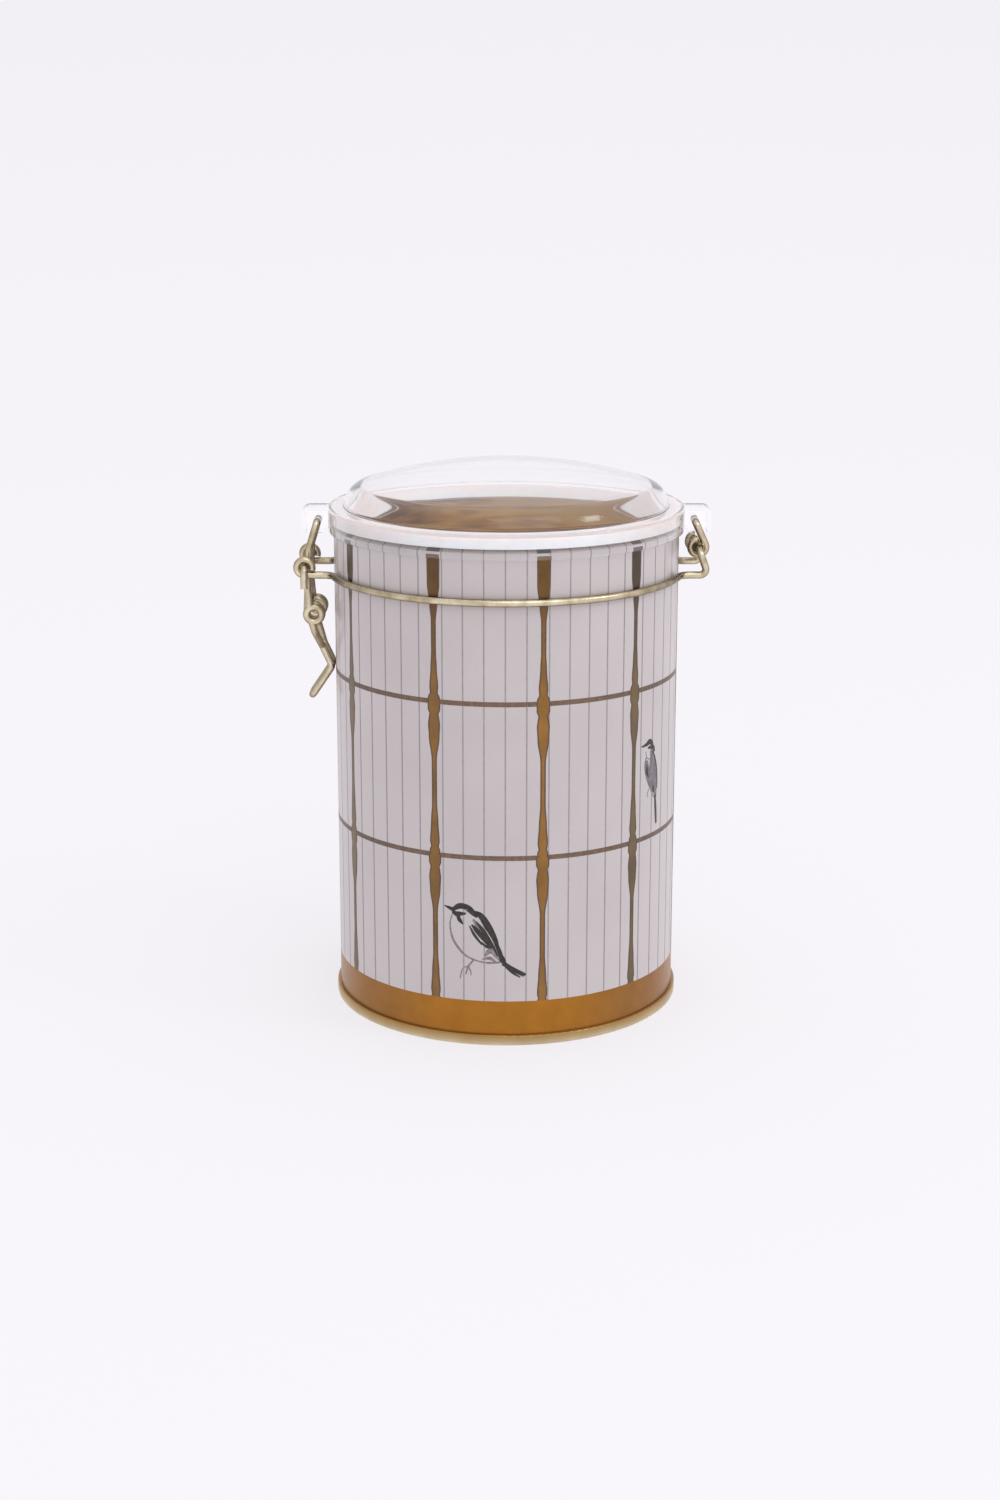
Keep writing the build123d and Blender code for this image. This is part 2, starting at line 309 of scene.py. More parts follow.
def rim_lacquer():
    """Clear gold lacquer over the rolled mouth."""
    made, tree, shader = material("rim_lacquer", Metallic=1.0)
    cloud = ramp(tree, noise(tree, 60), [(0.3, (0.50, 0.35, 0.16)), (0.7, (0.60, 0.44, 0.22))])
    tree.links.new(cloud, shader.inputs["Base Color"])
    rolled_grain(tree, shader, 0.2, 0.34)
    return made


def foot_lacquer():
    """Gold lacquer on the foot's seam, deep at its top and paler below."""
    made, tree, shader = material("foot_lacquer", Metallic=0.8)
    # deep at the seam's top, paler towards the bottom
    deep_to_pale = [(0.0, (0.72, 0.60, 0.43)), (0.45, (0.52, 0.39, 0.21)), (0.95, (0.42, 0.24, 0.07))]
    tint = by_height(tree, base_low.z, SEAM_TOP, deep_to_pale)
    cloud = ramp(tree, noise(tree, 130), [(0.3, (0.85, 0.82, 0.78)), (0.7, PLAIN)])
    tree.links.new(times(tree, tint, cloud), shader.inputs["Base Color"])
    rolled_grain(tree, shader, 0.25, 0.4)
    return made


def inside_lacquer():
    """Gold lacquer inside the tin, streaked dark and light round the wall, with painted shade
    darker and warmer lower down.
    """
    made, tree, shader = material("inside_lacquer", Metallic=0.6)
    streaks = noise(tree, 22, stretch=STREAK_STRETCH)
    # dark and light streaks round the wall
    streak_tones = [(0.38, (0.32, 0.13, 0.015)), (0.49, (0.90, 0.58, 0.16)), (0.60, (1.0, 0.81, 0.38))]
    # painted shade: darker and warmer lower down inside the tin
    painted_depth_shade = [(0.0, (0.80, 0.60, 0.38)), (0.5, (1.0, 0.93, 0.80)), (1.0, PLAIN)]
    shade = by_height(tree, SHADE_FROM, SHADE_TO_INSIDE, painted_depth_shade)
    tree.links.new(times(tree, ramp(tree, streaks, streak_tones), shade), shader.inputs["Base Color"])
    vary_roughness(tree, shader, streaks, 0.24, 0.42)
    bump(tree, shader, streaks, STREAK_DEPTH, 0.35)
    return made


def brass_wire():
    """Drawn brass-plated wire, a little tarnished, with painted shade at its edges where it turns
    from the eye.
    """
    made, tree, shader = material("brass_wire", Metallic=1.0)
    tarnish = noise(tree, 260, 4)
    tint = ramp(tree, tarnish, [(0.3, (0.50, 0.41, 0.25)), (0.7, (0.84, 0.76, 0.58))])
    # painted shade, darkening the wire towards its edges
    painted_edge_shading = [(0.05, PLAIN), (0.35, (0.74, 0.71, 0.66)), (0.7, (0.28, 0.25, 0.20))]
    tree.links.new(times(tree, tint, painted_view_shade(tree, painted_edge_shading)), shader.inputs["Base Color"])
    vary_roughness(tree, shader, tarnish, 0.32, 0.2)
    bump(tree, shader, noise(tree, 3000, 2), FINE_DEPTH, 0.3)
    return made


def clear_plastic():
    """Polished clear acrylic with a faint painted glow. Shadow rays pass it, so the lamps light
    what it covers.
    """
    made, tree, shader = material(
        "clear_plastic",
        Base_Color=(1.0, 0.995, 1.0, 1.0),
        Transmission_Weight=1.0,
        IOR=ACRYLIC_IOR,
        # a faint painted glow
        Emission_Color=(1.0, 0.99, 1.0, 1.0),
        Emission_Strength=0.015,
    )
    vary_roughness(tree, shader, noise(tree, 200), 0.0, 0.03)
    through = tree.nodes.new("ShaderNodeBsdfTransparent")
    through.inputs["Color"].default_value = (0.97, 0.965, 0.97, 1.0)
    path = tree.nodes.new("ShaderNodeLightPath")
    mix = tree.nodes.new("ShaderNodeMixShader")
    tree.links.new(path.outputs["Is Shadow Ray"], mix.inputs[0])
    tree.links.new(shader.outputs[0], mix.inputs[1])
    tree.links.new(through.outputs[0], mix.inputs[2])
    tree.links.new(mix.outputs[0], tree.nodes["Material Output"].inputs["Surface"])
    return made


def white_silicone(name, painted_glow):
    """Matt white silicone rubber with light soaking into it, a painted glow, and painted shade
    where it turns from the eye.
    """
    made, tree, shader = material(
        name,
        Roughness=0.45,
        Subsurface_Weight=0.6,
        Subsurface_Scale=SOAK_DEPTH,
        # a painted glow
        Emission_Color=(1.0, 0.94, 0.95, 1.0),
        Emission_Strength=painted_glow,
    )
    cloud = noise(tree, 300)
    tint = ramp(tree, cloud, [(0.3, (0.88, 0.82, 0.82)), (0.7, (0.94, 0.88, 0.88))])
    # painted shade where the surface turns from the eye
    painted_edge_shading = [(0.15, PLAIN), (0.55, (0.82, 0.79, 0.76))]
    tree.links.new(times(tree, tint, painted_view_shade(tree, painted_edge_shading)), shader.inputs["Base Color"])
    bump(tree, shader, noise(tree, 1800, 2), GRAIN_DEPTH, 0.3)
    return made


# painted shade and reflection by how far a surface turns from the eye, and the lid's painted
# shadow up the bars
BAND_PAINTED_EDGE_SHADING = [(0.05, (1.0, 1.0, 0.9)), (0.12, (1.0, 1.0, 0.95)), (0.34, (0.78, 0.86, 1.7))]
BAR_PAINTED_EDGE_SHADING = [(0.05, (0.9, 1.0, 1.2)), (0.12, (0.72, 0.86, 1.45)), (0.34, (0.5, 0.8, 2.2))]
# painted shadow of the lid: the bars darken and turn bluer towards their tops
PAINTED_LID_SHADOW = (SHADE_FROM, SHADE_TO_BARS, [(0.0, PLAIN), (1.0, (0.50, 0.53, 0.70))])
GROUND = print_ground()
GOLD_BAND = gold_ink("gold_band_ink", (0.43, 0.175, 0.018), (0.37, 0.145, 0.014), BAND_PAINTED_EDGE_SHADING)
GOLD_BAR = gold_ink(
    "gold_bar_ink", (0.40, 0.175, 0.032), (0.28, 0.125, 0.027), BAR_PAINTED_EDGE_SHADING, PAINTED_LID_SHADOW
)
BROWN_LINE = flat_ink("brown_line_ink", (0.125, 0.070, 0.038), (0.075, 0.040, 0.022))
GREY_LINE = flat_ink("grey_line_ink", (0.36, 0.32, 0.34), (0.30, 0.265, 0.28))
HOOP_BROWN = flat_ink("hoop_brown_ink", (0.19, 0.115, 0.070), (0.13, 0.078, 0.046))
BIRD_DARK = flat_ink("bird_dark_ink", (0.030, 0.022, 0.018), (0.006, 0.005, 0.004))
BIRD_WASH = flat_ink("bird_wash_ink", (0.30, 0.26, 0.265), (0.17, 0.145, 0.15))
INSIDE_GOLD = inside_lacquer()
RIM_GOLD = rim_lacquer()
SEAM_GOLD = foot_lacquer()
BRASS = brass_wire()
CLEAR = clear_plastic()
SILICONE = white_silicone("white_silicone", 0.04)
# a copy with a much stronger painted glow, lighting the lip's shaded face
SILICONE_LIP_PAINTED_GLOW = white_silicone("white_silicone_lip_painted_glow", 0.31)


# ---- can body ---------------------------------------------------------------------------
NECK_R = 48.3 * MM
NECK_FOOT = 141.9 * MM
NECK_TOP = 143.1 * MM
CURL_R = 0.7 * MM
WALL_STEPS = 12          # rows up the straight wall


def build_can():
    """The rolled body: printed outside, gold lacquered inside and on its curled edge."""
    inner = BODY_R - SHEET
    neck_in = NECK_R - SHEET
    curl = (neck_in + CURL_R, CAN_TOP - CURL_R)
    rise = NECK_FOOT - CAN_FOOT
    steps = [CAN_FOOT + rise * i / WALL_STEPS for i in range(WALL_STEPS + 1)]
    outside = [(BODY_R, z) for z in steps] + [(NECK_R, NECK_TOP), (NECK_R, curl[1])]
    roll = arc(curl, CURL_R - SHEET, 180, -90, 16) + arc(curl, CURL_R, -90, 180, 24)
    inside = [(neck_in, NECK_TOP)] + [(inner, z) for z in reversed(steps)]
    section = outside[:-1] + roll + inside
    printed = len(steps)
    lacquer_from = len(section) - len(inside) - 1

    def pick(i):
        if i < printed:
            return 0
        return 2 if i >= lacquer_from else 1

    can = revolved("can_shell", section, [GROUND, RIM_GOLD, INSIDE_GOLD], pick)
    faces_out(can)
    crisp(can)
    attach(can, "can")
    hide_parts("can_body")


# ---- lid --------------------------------------------------------------------------------
LID_SKIRT_T = 1.0 * MM
LID_SKIRT_Z = 140.2 * MM
FLANGE_TOP = 147.3 * MM
FLANGE_T = 1.15 * MM
FLANGE_ROUND = 0.6 * MM
DOME_R = 46.9 * MM
DOME_T = 1.3 * MM
CROWN_R = 139.4 * MM
SHOULDER_R = 6.2 * MM
PLUG_R = 46.5 * MM
PLUG_Z = 142.2 * MM
ROOT_MEETS = 7           # degrees up the shoulder where the root's fillet ends
LUG_HALF = 3.4 * MM
LUG_WALL = 1.2 * MM
LUG_LOW = lid_low.z
LUG_TOP = 146.9 * MM
LUG_ROUND = 2.2 * MM
LUG_ROOT = 50.9 * MM
LUG_NOTCH = 52.5 * MM
PIN_X = 54.6 * MM
PIN_Z = 142.6 * MM
PIN_HOLE_R = 1.13 * MM
SMALL_EDGE = 0.25 * MM   # rounding of the lid's thin lower edges
DOME_FOOT_R = 0.5 * MM   # fillet where the dome rises from the flange
LUG_LOW_R = 0.5 * MM     # rounding of a lug's lower corners


def dome_centres(wall_r, top_z):
    """Centres of a dome surface's crown and shoulder, and the angle where the two meet."""
    crown = (0.0, top_z - CROWN_R)
    shoulder_r = wall_r - SHOULDER_R
    shoulder_z = crown[1] + math.sqrt((CROWN_R - SHOULDER_R) ** 2 - shoulder_r**2)
    turn = math.degrees(math.atan2(shoulder_z - crown[1], shoulder_r))
    return crown, (shoulder_r, shoulder_z), turn


def lid_section():
    """The lid's half section: dome, flange, skirt and the wall that enters the mouth."""
    inner_r = DOME_R - DOME_T
    crown, shoulder, turn = dome_centres(DOME_R, LID_TOP)
    inner_crown, inner_shoulder, inner_turn = dome_centres(inner_r, LID_TOP - DOME_T)
    skirt_in = LID_R - LID_SKIRT_T
    edge_r = LID_R - FLANGE_ROUND
    under = FLANGE_TOP - FLANGE_T
    foot = SMALL_EDGE
    root = DOME_FOOT_R
    section = arc(inner_crown, CROWN_R, 90, inner_turn, 20)
    section[0] = (0.0, section[0][1])
    section += arc(inner_shoulder, SHOULDER_R, inner_turn, 0, 24)[1:]
    section += arc((inner_r + foot, PLUG_Z + foot), foot, 180, 270, 4)
    section += arc((PLUG_R - foot, PLUG_Z + foot), foot, -90, 0, 4)
    section += [(PLUG_R, under), (skirt_in, under)]
    section += arc((skirt_in + foot, LID_SKIRT_Z + foot), foot, 180, 270, 4)
    section += arc((LID_R - foot, LID_SKIRT_Z + foot), foot, -90, 0, 4)
    section += arc((edge_r, FLANGE_TOP - FLANGE_ROUND), FLANGE_ROUND, 0, 90, 6)
    section += arc((DOME_R + root, FLANGE_TOP + root), root, 270, 190, 5)
    section += arc(shoulder, SHOULDER_R, ROOT_MEETS, turn, 24)
    section += arc(crown, CROWN_R, turn, 90, 20)[1:]
    section[-1] = (0.0, LID_TOP)
    return section


def prism(name, outline, half_width):
    """An XZ outline made solid to the same depth each side of Y = 0."""
    count = len(outline)
    points = [(x, -half_width, z) for x, z in outline] + [(x, half_width, z) for x, z in outline]
    faces = [list(range(count)), list(range(2 * count - 1, count - 1, -1))]
    for i in range(count):
        n = (i + 1) % count
        faces.append([i, n, n + count, i + count])
    return faces_out(mesh_object(name, points, faces, []))


def boolean(target, tool, operation):
    """Applies a boolean and removes its tool."""
    modifier = target.modifiers.new("cut", "BOOLEAN")
    modifier.operation = operation
    modifier.solver = "EXACT"
    modifier.object = tool
    settle(target, modifier)
    bpy.data.objects.remove(tool)


def lug_outlines(side):
    """A lug's outer shape and the room under its hood, as XZ outlines."""
    corner = (LUG_OUT - LUG_ROUND, LUG_TOP - LUG_ROUND)
    low = LUG_LOW_R
    shell = arc((LUG_NOTCH + low, LUG_LOW + low), low, 180, 270, 4)
    shell += arc((LUG_OUT - low, LUG_LOW + low), low, -90, 0, 4)
    shell += arc(corner, LUG_ROUND, 0, 90, 8)
    shell += [(LUG_ROOT, LUG_TOP), (LUG_ROOT, LID_SKIRT_Z + low), (LUG_NOTCH, LID_SKIRT_Z + low)]
    inner_round = LUG_ROUND - LUG_WALL
    out = LUG_OUT - LUG_WALL
    top = LUG_TOP - LUG_WALL
    below = LUG_LOW - MM
    room = [(LID_R, below), (out, below)]
    room += arc((out - inner_round, top - inner_round), inner_round, 0, 90, 6)
    room += [(LID_R, top)]
    return [[(side * x, z) for x, z in outline] for outline in (shell, room)]


def pin_hole(side):
    """The pin hole's bore, right across a lug."""
    outline = arc((side * PIN_X, PIN_Z), PIN_HOLE_R, 0, 360, 40)[:-1]
    return prism("bore", outline, 2 * LUG_HALF)


def build_lid():
    """One clear moulding with its two lugs."""
    lid = faces_out(revolved("clear_lid", lid_section(), [CLEAR]))
    for side in (-1, 1):
        shell, room = lug_outlines(side)
        boolean(lid, prism("lug", shell, LUG_HALF), "UNION")
        boolean(lid, prism("room", room, LUG_HALF - LUG_WALL), "DIFFERENCE")
        boolean(lid, pin_hole(side), "DIFFERENCE")
    shade_smooth(lid.data)
    crisp(lid, 40)
    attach(lid, "lid")
    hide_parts("lid")


# ---- seal -------------------------------------------------------------------------------
SEAL_T = 0.55 * MM
SEAL_WEB = 1.0 * MM
SEAL_LEG_Z = 143.1 * MM
SEAL_GAP = 0.05 * MM     # between the seal's inner lip and the lid's inner wall
SEAL_ROOT_R = 0.25 * MM
CLING = 0.03 * MM        # how far the soft face presses into the flange, with no air between


def build_seal():
    """The soft white channel that grips the mouth's curl."""
    half = SEAL_T / 2
    inner_r = PLUG_R + SEAL_GAP
    top = seal_high.z + CLING
    web_low = seal_high.z - SEAL_WEB
    leg = (SEAL_R - half, SEAL_LEG_Z + half)
    lip = (inner_r + half, seal_low.z + half)
    root = SEAL_ROOT_R
    section = arc(leg, half, 0, -180, 12)
    section += arc((leg[0] - half - root, web_low - root), root, 0, 90, 5)
    section += arc((lip[0] + half + root, web_low - root), root, 90, 180, 5)
    lip_from = len(section)
    section += arc(lip, half, 0, -180, 12)
    lip_to = len(section)
    section += [(inner_r, top), (SEAL_R, top)]

    # the inner lip takes the copy with the stronger painted glow
    def pick(i):
        return 1 if lip_from <= i < lip_to else 0

    seal = faces_out(revolved("seal_ring", section, [SILICONE, SILICONE_LIP_PAINTED_GLOW], pick))
    crisp(seal, 50)
    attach(seal, "lid")
    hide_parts("lid_gasket")


# ---- stage ------------------------------------------------------------------------------
PAPER_GLOW = 0.65
PAPER_FADE = (0.05, 0.40)    # heights between which the backdrop's light falls off
FLOOR_HALF = 3.0
BACKDROP_Y = 2.2
BACKDROP_TOP = 4.0
SWEEP_R = 1.0            # radius where the floor turns up into the backdrop
SWEEP_STEPS = 16


def build_stage():
    """A pale floor that curves up into a backdrop, lit from within like a light table."""
    paper, tree, shader = material(
        "studio_paper",
        Base_Color=(0.30, 0.295, 0.305, 1.0),
        Roughness=1.0,
        Specular_IOR_Level=0.0,
        Emission_Strength=PAPER_GLOW,
    )
    fade = [(0.0, (0.985, 0.965, 1.0)), (1.0, (0.935, 0.920, 0.955))]
    tree.links.new(by_height(tree, *PAPER_FADE, fade), shader.inputs["Emission Color"])
    turn = BACKDROP_Y - SWEEP_R
    profile = [(-FLOOR_HALF, 0.0)]
    profile += [(turn + r, SWEEP_R + z) for r, z in arc((0, 0), SWEEP_R, -90, 0, SWEEP_STEPS)]
    profile.append((BACKDROP_Y, BACKDROP_TOP))
    points = [(side * FLOOR_HALF, y, z) for y, z in profile for side in (-1, 1)]
    faces = [[2 * i, 2 * i + 1, 2 * i + 3, 2 * i + 2] for i in range(len(profile) - 1)]
    mesh_object("floor", points, faces, [paper])


# soft square lamps: name, place and side in metres, and power in watts
LAMPS = [
    ("key", (0.35, -1.1, 1.25), 1.2, 3.5),
    ("top", (-0.2, 0.3, 1.7), 1.4, 1.5),
    ("glint", (1.18, -0.44, 1.02), 0.34, 1.8),
]
SKY_COLOUR = (0.97, 0.955, 0.985, 1.0)
SKY_LEFT = 0.78          # the surround's strength on each side
SKY_RIGHT = 0.99


def area_light(name, place, size, power):
    """A square soft light aimed at the middle of the tin."""
    lamp = bpy.data.lights.new(name, "AREA")
    lamp.shape = "SQUARE"
    lamp.size = size
    lamp.energy = power
    obj = link(bpy.data.objects.new(name, lamp))
    obj.location = place
    target = Vector((0, 0, LID_TOP / 2))
    obj.rotation_euler = (target - Vector(place)).to_track_quat("-Z", "Y").to_euler()


def build_lights():
    """A pale surround, dimmer on the left, with soft lights above and to the right."""
    world = bpy.data.worlds.new("surround")
    bpy.context.scene.world = world
    world.use_nodes = True
    tree = world.node_tree
    sky = tree.nodes["Background"]
    where = tree.nodes.new("ShaderNodeTexCoord")
    split = tree.nodes.new("ShaderNodeSeparateXYZ")
    tree.links.new(where.outputs["Generated"], split.inputs["Vector"])
    side = tree.nodes.new("ShaderNodeMapRange")
    side.inputs["From Min"].default_value = -1.0
    side.inputs["From Max"].default_value = 1.0
    side.inputs["To Min"].default_value = SKY_LEFT
    side.inputs["To Max"].default_value = SKY_RIGHT
    tree.links.new(split.outputs["X"], side.inputs["Value"])
    tree.links.new(side.outputs["Result"], sky.inputs["Strength"])
    sky.inputs["Color"].default_value = SKY_COLOUR
    for lamp in LAMPS:
        area_light(*lamp)


CAMERA_PLACE = (-1.82 * MM, -704.4 * MM, 264.3 * MM)
CAMERA_DOWN = 15.155     # degrees below level
LENS = 58.95             # millimetres, over the sensor's width
SENSOR = 36


def build_camera():
    """The camera, a little above the tin and looking down on it."""
    data = bpy.data.cameras.new("camera")
    data.lens = LENS
    data.sensor_width = SENSOR
    data.clip_start = 0.05
    camera = link(bpy.data.objects.new("camera", data))
    camera.location = CAMERA_PLACE
    camera.rotation_euler = (math.radians(90 - CAMERA_DOWN), 0, 0)
    bpy.context.scene.camera = camera


# ---- print ------------------------------------------------------------------------------
BAND_LOW = SEAM_TOP
BAND_TOP = 13.07 * MM
RING_HEIGHTS = (55.6 * MM, 99.9 * MM)
RING_WIDTH = 1.4 * MM
# degrees round from the front: four bars as seen, and six more evenly round the back
BAR_ANGLES = [-61.8, -23.7, 11.7, 46.1] + [46.1 + 36.01 * k for k in range(1, 7)]
LINES = 5                # thin wires to the left of each bar, by angle in degrees
LINE_FIRST = 5.3
LINE_STEP = 6.8
LINE_WIDTH = 0.40 * MM
BAR_EDGE = 0.42 * MM     # dark outline left round a bar's gold
LAYER = 0.0015 * MM      # how far a stroke lies over the one before it
FILM_T = 0.02 * MM
# how far each film's face stands off the tin, so that one covers another
WIRE_LIFT = 0.015 * MM
BAND_LIFT = 0.02 * MM
BIRD_LIFT = 0.020 * MM
HOOP_LIFT = 0.025 * MM
OUTLINE_LIFT = 0.030 * MM
CORE_LIFT = 0.036 * MM
STROKE_STEP = 0.4 * MM
PROFILE_STEP = 1.0 * MM
FINEST = 0.12 * MM       # the thinnest a stroke gets


def side_radius(z):
    """The outside radius of the body, which narrows at the neck."""
    share = min(max((z - NECK_FOOT) / (NECK_TOP - NECK_FOOT), 0), 1)
    return BODY_R + (NECK_R - BODY_R) * share


def wrap(u, z, lift):
    """A point just off the tin's side, u metres round from the front."""
    angle = u / BODY_R
    radius = side_radius(z) + lift
    return (radius * math.sin(angle), -radius * math.cos(angle), z)


def thicken(obj):
    """Makes a printed sheet a closed film."""
    modifier = obj.modifiers.new("film", "SOLIDIFY")
    modifier.thickness = FILM_T
    modifier.offset = -1
    settle(obj, modifier)
    return crisp(obj)


class Film:
    """Printed shapes gathered into one thin piece wrapped round the tin."""

    def __init__(self, inks, lift):
        self.inks = inks
        self.lift = lift
        self.points = []
        self.faces = []
        self.slots = []

    def grid(self, rows, ink=0):
        """Rows of (u, z) points, each row the same length."""
        start = len(self.points)
        width = len(rows[0])
        for row in rows:
            self.points += [wrap(u, z, self.lift) for u, z in row]
        for i in range(len(rows) - 1):
            for k in range(width - 1):
                a = start + i * width + k
                self.faces.append([a, a + 1, a + width + 1, a + width])
                self.slots.append(ink)
        self.lift += LAYER

    def upright(self, u, profile, columns=5):
        """A bar symmetric about u; profile is (z, half width) from the bottom up."""
        rows = []
        for z, half in profile:
            rows.append([(u - half + 2 * half * k / (columns - 1), z) for k in range(columns)])
        self.grid(rows)

    def hoop(self, low, high):
        """A band right round the tin."""
        steps = ROUND_STEPS
        start = len(self.points)
        for z in (low, high):
            for k in range(steps):
                self.points.append(wrap(2 * math.pi * BODY_R * k / steps, z, self.lift))
        for k in range(steps):
            n = (k + 1) % steps
            self.faces.append([start + k, start + n, start + steps + n, start + steps + k])
            self.slots.append(0)

    def stroke(self, stations, ink):
        """A brush stroke through (u, z, width) stations, in metres."""
        line = smooth_line(stations)
        rows = []
        widest = max(width for _, _, width in line)
        columns = max(2, math.ceil(widest / MM) + 1)
        for i, (u, z, width) in enumerate(line):
            before = line[max(i - 1, 0)]
            after = line[min(i + 1, len(line) - 1)]
            along = Vector((after[0] - before[0], after[1] - before[1])).normalized()
            row = []
            for k in range(columns):
                off = width * (k / (columns - 1) - 0.5)
                row.append((u + along.y * off, z - along.x * off))
            rows.append(row)
        self.grid(rows, ink)

    def made(self, name):
        """The film as an object riding on the tin."""
        obj = mesh_object(name, self.points, self.faces, self.inks)
        obj.data.polygons.foreach_set("material_index", self.slots)
        thicken(obj)
        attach(obj, "can")


def smooth_line(stations):
    """Points eased through (u, z, width) stations, none much over a step apart."""
    ends = [stations[0]] + list(stations) + [stations[-1]]
    line = []
    for before, a, b, after in zip(ends, ends[1:], ends[2:], ends[3:]):
        count = max(2, math.ceil(math.dist(a[:2], b[:2]) / STROKE_STEP))
        for i in range(count):
            t = i / count
            point = []
            for p, q, r, s in zip(before, a, b, after):
                bend = (2 * p - 5 * q + 4 * r - s) * t**2 + (3 * q - p - 3 * r + s) * t**3
                point.append(q + (r - p) * t / 2 + bend / 2)
            line.append((point[0], point[1], max(point[2], FINEST)))
    line.append(stations[-1])
    return line


def smooth_profile(stops):
    """(z, half width) pairs eased between a few stops."""
    result = []
    for (z0, w0), (z1, w1) in zip(stops, stops[1:]):
        count = max(2, round((z1 - z0) / PROFILE_STEP))
        for i in range(count):
            t = i / count
            ease = t * t * (3 - 2 * t)
            result.append((z0 + (z1 - z0) * t, w0 + (w1 - w0) * ease))
    result.append(stops[-1])
    return result


# half widths of a turned bar, by distance below the hoop at its top, in millimetres
SPINDLE = [
    (0.0, 1.95), (2.4, 1.9), (3.6, 1.4), (4.6, 1.6), (6.5, 1.85), (10.0, 1.65), (17.0, 0.78),
    (29.0, 0.78), (35.0, 1.15), (40.5, 1.5), (42.0, 1.2), (43.0, 1.65), (44.3, 1.95),
]
BAR_FOOT = 1.5           # half width where a bar meets the band or hoop below it
# half widths of the bars that run up under the lid, by height
TOP_SPINDLE = [
    (99.9, 1.95), (101.2, 1.8), (102.2, 1.2), (104.0, 1.35), (109.0, 0.98), (114.0, 0.74),
    (122.5, 0.76), (127.0, 1.2), (133.0, 1.9), (143.0, 2.0),
]


def bar_profile(top, bottom):
    """One turned bar between two heights, its shape measured down from the top."""
    stops = [(top - depth * MM, half * MM) for depth, half in SPINDLE if top - depth * MM > bottom]
    return smooth_profile([(bottom, BAR_FOOT * MM)] + stops[::-1])


def inset(profile, edge):
    """The same profile drawn in from its outline."""
    return [(z, half - edge) for z, half in profile]


def build_cage():
    """The cage print: gold foot band, dark hoops, turned bars and thin wires."""
    band = Film([GOLD_BAND], BAND_LIFT)
    band.hoop(BAND_LOW, BAND_TOP)
    band.made("gold_foot_band")

    hoops = Film([HOOP_BROWN], HOOP_LIFT)
    for z in RING_HEIGHTS:
        hoops.hoop(z - RING_WIDTH / 2, z + RING_WIDTH / 2)
    hoops.made("cage_hoops")

    wires = Film([GREY_LINE], WIRE_LIFT)
    outlines = Film([BROWN_LINE], OUTLINE_LIFT)
    cores = Film([GOLD_BAR], CORE_LIFT)
    low, high = RING_HEIGHTS
    shapes = [bar_profile(low, BAND_TOP), bar_profile(high, low)]
    shapes.append(smooth_profile([(z * MM, half * MM) for z, half in TOP_SPINDLE]))
    for angle in BAR_ANGLES:
        u = math.radians(angle) * BODY_R
        for shape in shapes:
            outlines.lift = OUTLINE_LIFT
            cores.lift = CORE_LIFT
            outlines.upright(u, shape)
            cores.upright(u, inset(shape, BAR_EDGE))
        for k in range(LINES):
            wires.lift = WIRE_LIFT
            wire_u = math.radians(angle - LINE_FIRST - LINE_STEP * k) * BODY_R
            heights = (BAND_TOP, NECK_FOOT, NECK_TOP)
            wires.upright(wire_u, [(z, LINE_WIDTH / 2) for z in heights], columns=2)
    wires.made("cage_wires")
    outlines.made("bar_outlines")
    cores.made("bar_cores")


# ---- printed birds ----------------------------------------------------------------------
# A stroke is a list of (across, up, width) in millimetres from the bird's own corner.
PERCHED_DARK = [
    [(0.0, 20.6, 0.2), (1.2, 20.2, 0.8), (2.8, 19.6, 1.3)],
    [(2.6, 19.7, 1.0), (4.6, 20.9, 1.7), (7.2, 20.6, 1.3), (9.0, 19.2, 0.6)],
    [(3.0, 18.9, 0.7), (4.6, 18.6, 1.2), (6.4, 18.8, 0.5)],
    [(3.9, 18.2, 0.7), (4.5, 16.8, 1.2), (5.6, 15.5, 0.3)],
    [(8.2, 19.6, 0.6), (10.6, 18.4, 1.7), (12.6, 15.4, 2.1), (14.6, 11.6, 1.5), (15.6, 8.4, 0.9)],
    [(8.0, 15.6, 0.4), (9.8, 13.6, 1.5), (12.6, 10.2, 1.0), (13.6, 8.6, 0.3)],
    [(9.2, 16.6, 0.3), (11.4, 13.8, 1.1), (14.0, 9.6, 0.8), (15.4, 6.4, 0.3)],
    [(16.0, 7.6, 0.6), (17.2, 5.0, 1.2), (16.9, 3.6, 0.7)],
    [(16.4, 5.2, 0.8), (19.2, 2.9, 1.3), (22.4, 1.2, 1.1), (23.4, 0.9, 0.5)],
    [(16.8, 4.2, 0.4), (19.6, 1.6, 0.7), (21.8, 0.1, 0.3)],
    [(2.4, 19.2, 0.8), (3.6, 18.4, 1.3), (4.6, 17.6, 0.6)],
    [(6.8, 20.0, 0.5), (8.4, 18.9, 1.1), (9.6, 17.8, 0.4)],
    [(12.2, 15.2, 0.5), (14.2, 11.8, 0.9), (16.0, 7.6, 1.3), (16.6, 5.0, 1.1)],
    [(7.4, 15.2, 0.3), (8.8, 12.6, 0.8), (11.0, 9.8, 0.5)],
    [(10.6, 10.6, 0.4), (12.4, 9.2, 0.8), (14.0, 9.2, 0.4)],
]
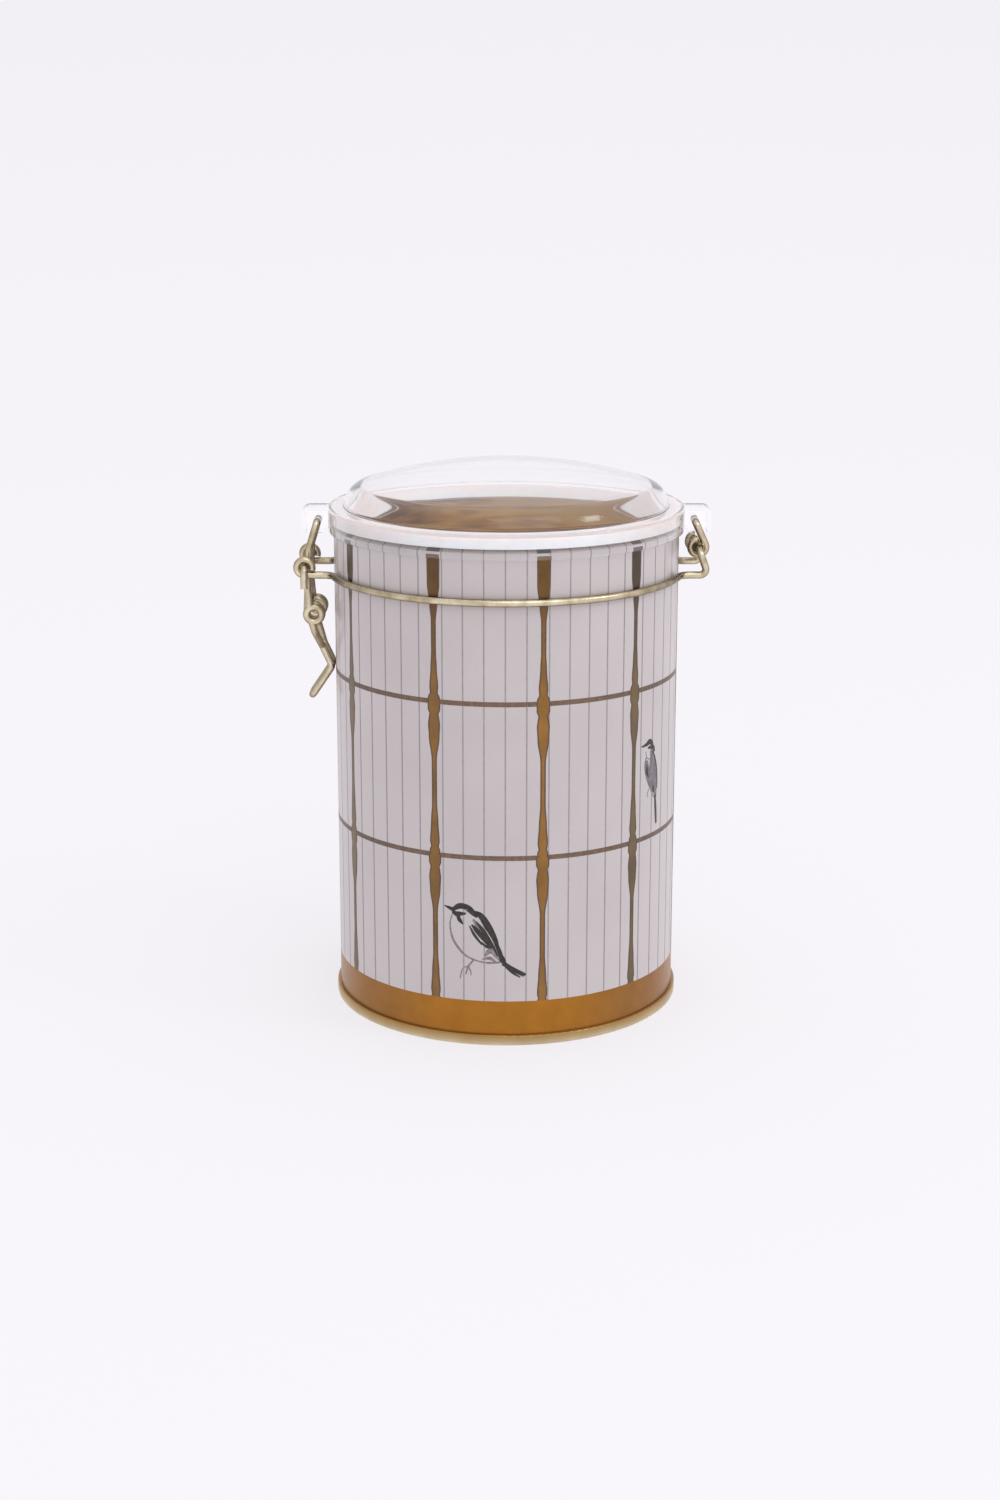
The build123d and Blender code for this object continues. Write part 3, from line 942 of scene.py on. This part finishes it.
PERCHED_WASH = [
    [(2.6, 18.8, 0.3), (1.7, 15.4, 0.4), (2.6, 10.8, 0.7), (5.8, 6.6, 0.65), (9.4, 4.9, 0.4)],
    [(9.4, 4.9, 0.4), (12.6, 4.4, 0.6), (16.6, 4.7, 0.5)],
    [(11.6, 6.2, 0.4), (13.6, 8.2, 1.8), (15.4, 6.4, 1.5), (16.2, 5.0, 0.6)],
    [(11.0, 5.4, 0.3), (13.2, 5.8, 1.0), (15.0, 4.6, 0.5)],
    [(8.4, 17.2, 0.5), (10.8, 14.0, 2.2), (13.0, 10.6, 1.2)],
    [(3.4, 20.6, 0.4), (5.8, 20.4, 1.0), (8.6, 18.6, 0.9)],
    [(8.6, 5.1, 0.4), (7.0, 3.0, 0.6), (6.3, 0.6, 0.4)],
    [(7.0, 3.0, 0.5), (7.7, 1.6, 0.4), (7.8, 0.4, 0.3)],
    [(7.2, 3.2, 0.4), (5.4, 2.2, 0.4), (4.6, -0.8, 0.3)],
    [(17.4, 4.2, 0.6), (20.4, 1.9, 1.2), (23.0, 0.5, 0.8)],
]
UPRIGHT_DARK = [
    [(0.4, 25.2, 0.3), (1.6, 25.2, 0.7), (3.0, 25.5, 1.0)],
    [(2.6, 25.2, 0.9), (4.6, 25.9, 1.7), (6.4, 24.8, 0.7)],
    [(3.6, 24.2, 0.5), (4.8, 24.2, 0.9), (6.0, 23.6, 0.3)],
    [(3.4, 19.4, 0.3), (3.2, 17.4, 1.1), (4.2, 15.4, 0.4)],
    [(6.6, 12.6, 0.4), (6.9, 11.4, 1.1), (7.4, 10.2, 0.3)],
    [(6.2, 22.8, 0.3), (8.0, 19.6, 0.6), (9.0, 15.4, 0.5), (9.2, 11.0, 0.3)],
    [(8.0, 9.4, 0.9), (8.5, 5.0, 1.2), (8.9, 0.6, 0.9)],
    [(5.0, 24.8, 1.0), (6.6, 23.8, 1.3), (7.2, 22.4, 0.5)],
]
UPRIGHT_WASH = [
    [(5.4, 23.6, 1.0), (6.4, 20.0, 3.4), (6.6, 15.6, 4.8), (7.6, 11.6, 2.8), (8.4, 8.6, 0.8)],
    [(3.4, 20.6, 0.8), (3.6, 17.8, 2.0), (4.8, 14.2, 2.0), (6.6, 10.6, 1.0)],
    [(2.8, 21.6, 0.4), (2.4, 18.6, 0.9), (3.6, 14.6, 0.6), (5.6, 11.2, 0.3)],
    [(2.6, 23.4, 0.3), (3.2, 21.4, 0.3), (5.2, 20.6, 0.3)],
    [(5.6, 11.2, 0.3), (6.8, 9.4, 0.4), (7.8, 8.6, 0.3)],
    [(4.6, 12.0, 0.3), (3.6, 10.6, 0.3), (4.0, 9.6, 0.2)],
]
# where each bird sits: strokes, corner (across, up) in millimetres, mirrored
FLOCK = [
    ("perched_bird", PERCHED_DARK, PERCHED_WASH, (-17.9, 20.2), False),
    ("upright_bird", UPRIGHT_DARK, UPRIGHT_WASH, (43.2, 57.9), False),
    ("back_perched_bird", PERCHED_DARK, PERCHED_WASH, (130.2, 64.2), True),
    ("back_upright_bird", UPRIGHT_DARK, UPRIGHT_WASH, (206.0, 14.2), True),
]


def build_birds():
    """Small songbirds sketched on the ground between the bars."""
    for name, dark, wash, (across, up), mirrored in FLOCK:
        flip = -1 if mirrored else 1
        film = Film([BIRD_WASH, BIRD_DARK], BIRD_LIFT)
        for ink, strokes in ((0, wash), (1, dark)):
            for stroke in strokes:
                stations = []
                for u, z, width in stroke:
                    stations.append(((across + flip * u) * MM, (up + z) * MM, width * MM))
                film.stroke(stations, ink)
        film.made(name)


# ---- the rest of the CAD nodes ----------------------------------------------------------
def dress(node, finish):
    """Gives a CAD node its finish and smooth shading."""
    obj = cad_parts[node]
    obj.data.materials.clear()
    obj.data.materials.append(finish)
    shade_smooth(obj.data)
    crisp(obj, 40)


bpy.context.scene.view_settings.view_transform = "Standard"
build_camera()
build_stage()
build_lights()
build_can()
build_cage()
build_birds()
build_lid()
build_seal()
dress("base_end", SEAM_GOLD)
for wire in ("collar_wire", "hinge_link", "bail_link", "latch_lever"):
    dress(wire, BRASS)
